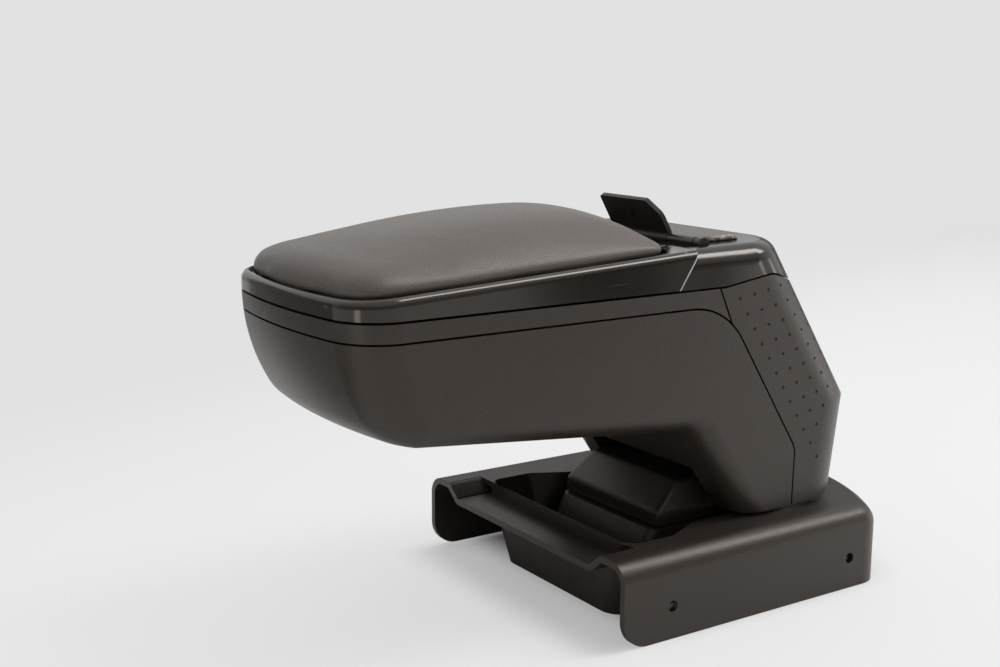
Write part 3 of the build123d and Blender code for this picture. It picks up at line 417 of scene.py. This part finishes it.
def dress_frame():
    """Finish every CAD node by its slot in the record."""
    for row in frame["record"]["subparts"]:
        node = NODES[row["node"]]
        coat(node, SLOT_FINISH[row["material_slot"]])
    coat(NODES["release_tab"], TAB)
    coat(NODES["lid_hinge_pin"], blackened_steel())


# Padded pieces

SMOOTHING = 0.5
SOFT_CREASE = 80
COVER_QUALITY = 6
COVER_FRAMES = 20


def stuffed(piece, seat, pressure, cap):
    """Fill a closed cover with air over a seat that stays flat, moving no point past a cap."""
    start = [vertex.co.copy() for vertex in piece.data.vertices]
    held = piece.vertex_groups.new(name="seat")
    held.add([i for i, place in enumerate(start) if place.z < seat(place)], 1.0, "ADD")
    cover = piece.modifiers.new("cover", "CLOTH")
    cover.settings.quality = COVER_QUALITY
    cover.settings.vertex_group_mass = held.name
    cover.settings.use_pressure = True
    cover.settings.uniform_pressure_force = pressure
    cover.settings.effector_weights.gravity = 0
    cover.point_cache.frame_end = COVER_FRAMES
    for number in range(1, COVER_FRAMES + 1):
        bpy.context.scene.frame_set(number)
    only(piece)
    bpy.ops.object.modifier_apply(modifier=cover.name)
    bpy.context.scene.frame_set(1)
    for vertex, place in zip(piece.data.vertices, start):
        move = vertex.co - place
        if move.length > cap:
            vertex.co = place + move * (cap / move.length)
    piece.vertex_groups.clear()


def lid_height(place):
    """Upper face of the lid frame above a place."""
    share = (place.x - LID_FRONT.x) / (LID_REAR.x - LID_FRONT.x)
    return LID_FRONT.z + share * (LID_REAR.z - LID_FRONT.z)


# Rim of the cushion: reach and depth of its slope, the share of its height that is kept, where the
# slope takes over from the roll in front, the roll's radius, and the heights that count as its wall
PILLOW_EDGE = 0.034
PILLOW_DROP = 0.0085
PILLOW_KEPT = 0.45
PILLOW_START, PILLOW_FULL = -0.195, -0.150
FRONT_ROLL = 0.013
WALL_LOW, WALL_HIGH = 0.0005, 0.004


def pillowed(piece):
    """Draw a cushion's rim down to its seat: a tight roll in front, a broad slope behind."""
    rises = [vertex.co.z - lid_height(vertex.co) for vertex in piece.data.vertices]
    pairs = list(zip(piece.data.vertices, rises))
    wall = [vertex.co for vertex, rise in pairs if WALL_LOW < rise < WALL_HIGH]
    outline = KDTree(len(wall))
    for number, place in enumerate(wall):
        outline.insert((place.x, place.y, 0), number)
    outline.balance()
    for vertex, rise in pairs:
        if rise > 0:
            inward = outline.find((vertex.co.x, vertex.co.y, 0))[2]
            along = (vertex.co.x - PILLOW_START) / (PILLOW_FULL - PILLOW_START)
            along = min(max(along, 0), 1)
            slope = PILLOW_DROP * (1 - min(inward / PILLOW_EDGE, 1)) ** 2
            roll = 1 - math.sqrt(1 - (1 - min(inward / FRONT_ROLL, 1)) ** 2)
            most = rise * (1 - PILLOW_KEPT)
            vertex.co.z -= min(slope, most) * along + most * roll * (1 - along)


CUSHION_INSET = 0.0006
CUSHION_VOXEL = 0.003
CUSHION_ROUNDS = 4
CUSHION_PRESSURE = 2.5
CUSHION_SWELL = 0.0008
SEAT_DEPTH = 0.0005


def cushion_seat(place):
    """Height under which the cushion stays flat."""
    return lid_height(place) - SEAT_DEPTH


def arm_cushion():
    """Padded cushion of the lid, blown up from a slightly smaller copy of its solid."""
    cushion = copy_of("cushion", "arm_cushion")
    edit(cushion, (bpy.ops.transform.shrink_fatten, {"value": -CUSHION_INSET}))
    shape(cushion, "REMESH", mode="VOXEL", voxel_size=CUSHION_VOXEL)
    pillowed(cushion)
    shape(cushion, "SMOOTH", factor=SMOOTHING, iterations=CUSHION_ROUNDS)
    stuffed(cushion, cushion_seat, CUSHION_PRESSURE, CUSHION_SWELL)
    shape(cushion, "SMOOTH", factor=SMOOTHING, iterations=CUSHION_ROUNDS)
    shape(cushion, "SUBSURF", levels=2, render_levels=2)
    smooth(cushion, SOFT_CREASE)
    coat(cushion, LEATHER)
    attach(cushion, "lid")
    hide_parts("cushion")


FACING_VOXEL = 0.0009
FACING_ROUNDS = 5


def rear_facing():
    """Thin padded facing behind the tab, softened all round."""
    facing = copy_of("rear_pad", "rear_facing")
    shape(facing, "REMESH", mode="VOXEL", voxel_size=FACING_VOXEL)
    shape(facing, "SMOOTH", factor=SMOOTHING, iterations=FACING_ROUNDS)
    shape(facing, "SUBSURF", levels=1, render_levels=1)
    smooth(facing, SOFT_CREASE)
    coat(facing, FACING)
    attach(facing, "arm")
    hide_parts("rear_pad")


# Rounded cover over the pivot

HOOD_VOXEL = 0.0008
HOOD_ROUNDS = 20
HOOD_CREASE = 60


def pivot_hood():
    """Cover on the boss of the tray, with its edges rounded over."""
    hood = copy_of("pivot_cover", "pivot_hood")
    shape(hood, "REMESH", mode="VOXEL", voxel_size=HOOD_VOXEL)
    shape(hood, "SMOOTH", factor=SMOOTHING, iterations=HOOD_ROUNDS)
    smooth(hood, HOOD_CREASE)
    coat(hood, MOULDED)
    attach(hood, "base")
    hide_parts("pivot_cover")


# Dimpled rear panels

DIMPLE_FIRST = 0.033
DIMPLE_PITCH = 0.0095
DIMPLE_TOP = 0.1432
DIMPLE_STEP = 0.00742
DIMPLE_RISE = 0.0013
DIMPLE_ROWS = (12, 10, 9, 8, 7, 6)
DIMPLE_RADIUS = 0.0009
DIMPLE_LIFT = 0.0002
DIMPLE_SEGMENTS, DIMPLE_RINGS = 14, 8
RAY_START = 0.08
PANEL_CREASE = 30


def dimple_rays(side):
    """Start and direction of a ray through each dimple, from outside the panel."""
    for column, rows in enumerate(DIMPLE_ROWS):
        along = DIMPLE_FIRST + column * DIMPLE_PITCH
        turn = max(0.0, (along - CORNER_START) / CORNER_RADIUS)
        out = Vector((math.sin(turn), side * math.cos(turn), 0))
        plan_x = min(along, CORNER_START)
        for row in range(rows):
            height = DIMPLE_TOP + column * DIMPLE_RISE - row * DIMPLE_STEP
            x = plan_x + BACK_LEAN * (height - HEEL_HEIGHT)
            centre = Vector((x, side * (ARM_HALF - CORNER_RADIUS), height))
            yield centre + out * RAY_START, -out


def dimpled_panel(side, name):
    """Copy of a rear panel with its field of dimples sunk in."""
    panel = copy_of(f"rear_panel_{name}", f"dimpled_panel_{name}")
    surface = BVHTree.FromObject(panel, bpy.context.evaluated_depsgraph_get())
    bpy.ops.object.select_all(action="DESELECT")
    bpy.ops.mesh.primitive_uv_sphere_add(
        segments=DIMPLE_SEGMENTS, ring_count=DIMPLE_RINGS, radius=DIMPLE_RADIUS)
    model = bpy.context.object
    tools = []
    for start, direction in dimple_rays(side):
        place, normal, _, _ = surface.ray_cast(start, direction)
        if place is None:
            continue
        tool = model.copy()
        tool.data = model.data.copy()
        bpy.context.scene.collection.objects.link(tool)
        tools.append(placed(tool, Matrix.Translation(place + normal * DIMPLE_LIFT)))
    bpy.data.objects.remove(model)
    tool = joined(tools, f"dimple_tool_{name}")
    shape(panel, "BOOLEAN", operation="DIFFERENCE", solver="EXACT", object=tool)
    bpy.data.objects.remove(tool)
    smooth(panel, PANEL_CREASE)
    coat(panel, MOULDED)
    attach(panel, "arm")
    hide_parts(f"rear_panel_{name}")


# Small trim

# Pale strip in the joint between lid and rear trim
STRIP_WIDTH = 0.0006
STRIP_DEPTH = 0.0014
STRIP_OUT = 0.0605
STRIP_FOOT = 0.0006
STRIP_CURL_START = 0.1610
STRIP_CURL_R = 0.0058
STRIP_CURL_TURN = 75
STRIP_CURL_STEPS = 5
STRIP_BEVEL = 0.00015
STRIP_CREASE = 40


def extruded(move):
    """Edit step that draws the selected faces out along a move."""
    return bpy.ops.mesh.extrude_region_move, {"TRANSFORM_OT_translate": {"value": move}}


def outward():
    """Edit steps that turn all faces outwards."""
    return ((bpy.ops.mesh.select_all, {"action": "SELECT"}),
            (bpy.ops.mesh.normals_make_consistent, {"inside": False}))


def strip_path(side):
    """Points of the joint of lid and rear trim: up the side, then in over the shoulder."""
    rise = (SPLIT_TOP.x - SPLIT_LOW.x) / (SPLIT_TOP.z - SPLIT_LOW.z)
    points = [(STRIP_OUT, SPLIT_LOW.z + STRIP_FOOT), (STRIP_OUT, STRIP_CURL_START)]
    for step in range(1, STRIP_CURL_STEPS + 1):
        turn = math.radians(STRIP_CURL_TURN * step / STRIP_CURL_STEPS)
        out = STRIP_OUT - STRIP_CURL_R * (1 - math.cos(turn))
        points.append((out, STRIP_CURL_START + STRIP_CURL_R * math.sin(turn)))
    return [Vector((SPLIT_LOW.x + rise * (z - SPLIT_LOW.z), side * out, z)) for out, z in points]


def split_strip(side, name):
    """Pale strip in the joint between lid and rear trim, drawn along its path."""
    path = strip_path(side)
    bpy.ops.object.select_all(action="DESELECT")
    bpy.ops.mesh.primitive_plane_add(size=1)
    strip = bpy.context.object
    strip.name = f"pale_joint_strip_{name}"
    section = Matrix.Diagonal((STRIP_WIDTH, STRIP_DEPTH, 1, 1))
    placed(strip, Matrix.Translation(path[0]) @ section)
    moves = [extruded(ahead - here) for here, ahead in zip(path, path[1:])]
    edit(strip, *moves, *outward())
    shape(strip, "BEVEL", width=STRIP_BEVEL, segments=2, limit_method="ANGLE")
    smooth(strip, STRIP_CREASE)
    coat(strip, STRIP_FINISH)
    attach(strip, "arm")


ARROW_HEAD_R = 0.0026
ARROW_STEM = (0.0014, 0.0026)
ARROW_STEM_PLACE = (0, -0.0024, 0)
ARROW_RELIEF = (0, 0, 0.0004)
ARROW_BEVEL = 0.00012
ARROW_CREASE = 30
ARROW_SINK = 0.0008
ARROW_RISE = 0.0135
ARROW_ASIDE = Vector((0, -0.004, 0))


def tab_arrow():
    """Small raised arrow on the front of the finger tab."""
    bpy.ops.object.select_all(action="DESELECT")
    bpy.ops.mesh.primitive_circle_add(vertices=3, radius=ARROW_HEAD_R, fill_type="NGON")
    head = bpy.context.object
    bpy.ops.mesh.primitive_plane_add(size=1)
    stem = bpy.context.object
    placed(stem, Matrix.Translation(ARROW_STEM_PLACE) @ Matrix.Diagonal((*ARROW_STEM, 1, 1)))
    arrow = joined([head, stem], "tab_arrow")
    edit(arrow, extruded(ARROW_RELIEF), *outward())
    shape(arrow, "BEVEL", width=ARROW_BEVEL, segments=2, limit_method="ANGLE")
    along = Vector((-math.sin(TAB_LEAN), 0, math.cos(TAB_LEAN)))
    front = Vector((-math.cos(TAB_LEAN), 0, -math.sin(TAB_LEAN)))
    across = along.cross(front)
    middle = TAB_PIN - front * ARROW_SINK + along * ARROW_RISE + ARROW_ASIDE
    turn = Matrix((across, along, front)).transposed().to_4x4()
    placed(arrow, Matrix.Translation(middle) @ turn)
    smooth(arrow, ARROW_CREASE)
    coat(arrow, RUBBER)
    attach(arrow, "tab")


# Studio

CAMERA_PLACE = Vector((-0.423401, -0.502300, 0.243315))
CAMERA_YAW = 0.583314
CAMERA_PITCH = 0.192020
CAMERA_ROLL = -0.004876
IMAGE_WIDTH = 1000
SENSOR_WIDTH = 36
CAMERA_FOCAL = 1357.635 / IMAGE_WIDTH * SENSOR_WIDTH
CAMERA_CLIP = (0.01, 50)


def camera():
    """Camera at the photograph's place and angle."""
    level = Vector((math.cos(CAMERA_YAW), -math.sin(CAMERA_YAW), 0))
    ahead = Vector((math.sin(CAMERA_YAW), math.cos(CAMERA_YAW), 0)) * math.cos(CAMERA_PITCH)
    ahead.z = -math.sin(CAMERA_PITCH)
    below = ahead.cross(level)
    right = level * math.cos(CAMERA_ROLL) + below * math.sin(CAMERA_ROLL)
    down = below * math.cos(CAMERA_ROLL) - level * math.sin(CAMERA_ROLL)
    data = bpy.data.cameras.new("camera")
    data.sensor_width = SENSOR_WIDTH
    data.lens = CAMERA_FOCAL
    data.clip_start, data.clip_end = CAMERA_CLIP
    eye = bpy.data.objects.new("camera", data)
    bpy.context.scene.collection.objects.link(eye)
    turn = Matrix((right, -down, -ahead)).transposed().to_4x4()
    eye.matrix_world = Matrix.Translation(CAMERA_PLACE) @ turn
    bpy.context.scene.camera = eye


def softbox(name, place, aim, size, power):
    """Rectangular soft light that faces a point."""
    data = bpy.data.lights.new(name, "AREA")
    data.shape = "RECTANGLE"
    data.size, data.size_y = size
    data.energy = power
    lamp = bpy.data.objects.new(name, data)
    bpy.context.scene.collection.objects.link(lamp)
    lamp.location = place
    lamp.rotation_euler = (Vector(aim) - Vector(place)).to_track_quat("-Z", "Y").to_euler()


# Ground: its tones, the share of plain tone that lifts it, and how much less of it under the part
BACKDROP_TONE = rgb(0.760, 0.760, 0.760)
GROUND_TONE = rgb(0.850, 0.850, 0.850)
GROUND_LIFT = 0.72
SHADE_DROP = 0.28
DECK_DROP = 0.40
SHADE_SOFT = 0.03
TRAY_SPAN = (-0.08, 0.09)
DECK_SPAN = (-0.04, 0.09)
TRAY_ACROSS = (-0.07, 0.07)
ACROSS_SOFT = 0.02
GROUND_EDGE = (-0.313, 0.950)
FADE_BEHIND = (0.10, 0.55)
FADE_ROUND = (0.8, 2.0)
GROUND_SIZE = 60
GROUND_SINK = 0.0002


def ground_cloth():
    """Pale ribbed cloth of the ground, which fades into a plain backdrop away from the part."""
    finish = Finish("ground_cloth", Specular_IOR_Level=0.1, Roughness=0.9)
    wave = {"Vector": finish.place, "Scale": 260.0, "Distortion": 1.5}
    rib = finish.node("TexWave", {"bands_direction": "X"}, wave, "Fac")
    cloud = finish.noise(3, 2.0)
    mottle = cloud * 0.7 + rib * 0.3
    pale = finish.blend(rgb(0.80, 0.80, 0.80), rgb(0.86, 0.86, 0.86), mottle)
    finish.link("Base Color", pale)
    finish.bump(rib, 0.12, 0.0004)
    away = finish.node("VectorMath", {"operation": "LENGTH"}, {0: finish.place}, "Value")
    behind = finish.axis("Y") * GROUND_EDGE[1] + finish.axis("X") * GROUND_EDGE[0]
    far = finish.higher(finish.step(behind, *FADE_BEHIND), finish.step(away, *FADE_ROUND))
    tone = finish.blend(GROUND_TONE, BACKDROP_TONE, far)
    across = finish.window(finish.axis("Y"), *TRAY_ACROSS, ACROSS_SOFT)
    under_tray = finish.window(finish.axis("X"), *TRAY_SPAN, SHADE_SOFT)
    under_deck = finish.window(finish.axis("X"), *DECK_SPAN, SHADE_SOFT)
    shade = across * (under_tray * SHADE_DROP + under_deck * DECK_DROP)
    lift = finish.higher(far, GROUND_LIFT - shade)
    mirrored = finish.ray("Glossy") + finish.ray("Transmission")
    finish.glow(tone, lift * finish.ray("Camera") + far * mirrored)
    return finish.material


def grey_cloth():
    """Grey cloth of a screen."""
    finish = Finish("grey_cloth", Specular_IOR_Level=0.1, Roughness=0.9)
    weave = finish.noise(300, 2.0)
    finish.link("Base Color", finish.blend(rgb(0.22, 0.21, 0.20), rgb(0.30, 0.29, 0.28), weave))
    return finish.material


def ground():
    """Broad ground under the part."""
    bpy.ops.object.select_all(action="DESELECT")
    bpy.ops.mesh.primitive_plane_add(size=1)
    floor = bpy.context.object
    floor.name = "ground"
    spread = Matrix.Diagonal((GROUND_SIZE, GROUND_SIZE, 1, 1))
    placed(floor, Matrix.Translation((0, 0, -GROUND_SINK)) @ spread)
    coat(floor, ground_cloth())


# Light all round: the way to the backdrop, levels from the camera's side to it, and the level above
BACKDROP_WAY = (0.6, 0.8)
SIDE_LEVELS = ((0.0, 0.22), (0.35, 0.30), (0.60, 0.72), (1.0, 0.85))
TOP_LEVEL = 0.80
TOP_FADE = (0.35, 0.85)


def surroundings():
    """Soft light: bright from above and from the backdrop, dim from the camera's side."""
    world = bpy.data.worlds.new("studio")
    bpy.context.scene.world = world
    world.use_nodes = True
    world.node_tree.nodes.clear()
    bench = NodeBench(world.node_tree, "Generated")
    toward = bench.axis("Y") * BACKDROP_WAY[1] + bench.axis("X") * BACKDROP_WAY[0]
    level = bench.ramp(toward * 0.5 + 0.5, *SIDE_LEVELS)
    above = bench.step(bench.axis("Z"), *TOP_FADE)
    light = bench.node("Background", {}, {"Color": level * (1 - above) + TOP_LEVEL * above})
    backdrop = bench.node("Background", {}, {"Color": BACKDROP_TONE})
    shown = bench.node("MixShader", {}, {0: bench.ray("Camera"), 1: light, 2: backdrop})
    bench.node("OutputWorld", {}, {"Surface": shown})


def screen(name, place, turns, size, finish):
    """Screen beside the part, tilted up and then turned, seen only in reflections."""
    bpy.ops.object.select_all(action="DESELECT")
    bpy.ops.mesh.primitive_plane_add(size=1)
    piece = bpy.context.object
    piece.name = name
    tilt = Matrix.Rotation(math.radians(turns[0]), 4, "X")
    turn = Matrix.Rotation(math.radians(turns[1]), 4, "Z")
    placed(piece, Matrix.Translation(place) @ turn @ tilt @ Matrix.Diagonal((*size, 1, 1)))
    coat(piece, finish)
    for kind in ("camera", "diffuse", "shadow"):
        setattr(piece, f"visible_{kind}", False)


# Screens, each with its place, its tilt and turn in degrees, and its size
DARK_SCREENS = {
    "dark_screen": ((0.345, -0.606, 0.20), (90, 39), (0.13, 0.40)),
    "narrow_screen": ((0.490, -0.600, 0.20), (90, 39), (0.06, 0.40)),
}
GREY_SCREENS = {
    "grey_screen": ((-0.52, 0.50, 0.15), (90, 20), (0.50, 0.50)),
    "low_screen": ((-0.46, 0.22, 0.01), (0, 20), (0.40, 0.50)),
    "rear_screen": ((0.36, 0.64, 0.12), (90, -35), (0.80, 0.30)),
    "side_screen": ((0.72, 0.34, 0.15), (90, -52), (0.42, 0.45)),
}

# Lights, each with its place, the point that it faces, its size and its power in watts
SOFTBOXES = {
    "overhead": ((-0.05, 0.45, 1.25), (-0.05, 0, 0.1), (1.5, 1.0), 1.2),
    "key": ((0.66, -0.31, 1.10), (-0.05, -0.05, 0.1), (0.34, 1.0), 8.0),
    "corner_strip": ((-0.74, -0.27, 0.06), (-0.185, -0.05, 0.15), (0.12, 0.2), 0.17),
    "trim_strip": ((0.565, -0.555, 0.05), (0.0, -0.06, 0.15), (0.06, 0.3), 0.20),
    "rear_strip": ((0.70, -0.22, 0.07), (0.0, -0.06, 0.15), (0.08, 0.25), 0.2),
}


def studio():
    """Camera, ground, screens and lights."""
    camera()
    surroundings()
    ground()
    cloth = grey_cloth()
    for name, settings in DARK_SCREENS.items():
        screen(name, *settings, RUBBER)
    for name, settings in GREY_SCREENS.items():
        screen(name, *settings, cloth)
    for name, settings in SOFTBOXES.items():
        softbox(name, *settings)
    bpy.context.scene.view_settings.view_transform = "Standard"


dress_frame()
arm_cushion()
rear_facing()
pivot_hood()
dimpled_panel(-1, "left")
dimpled_panel(1, "right")
split_strip(-1, "left")
split_strip(1, "right")
tab_arrow()
studio()
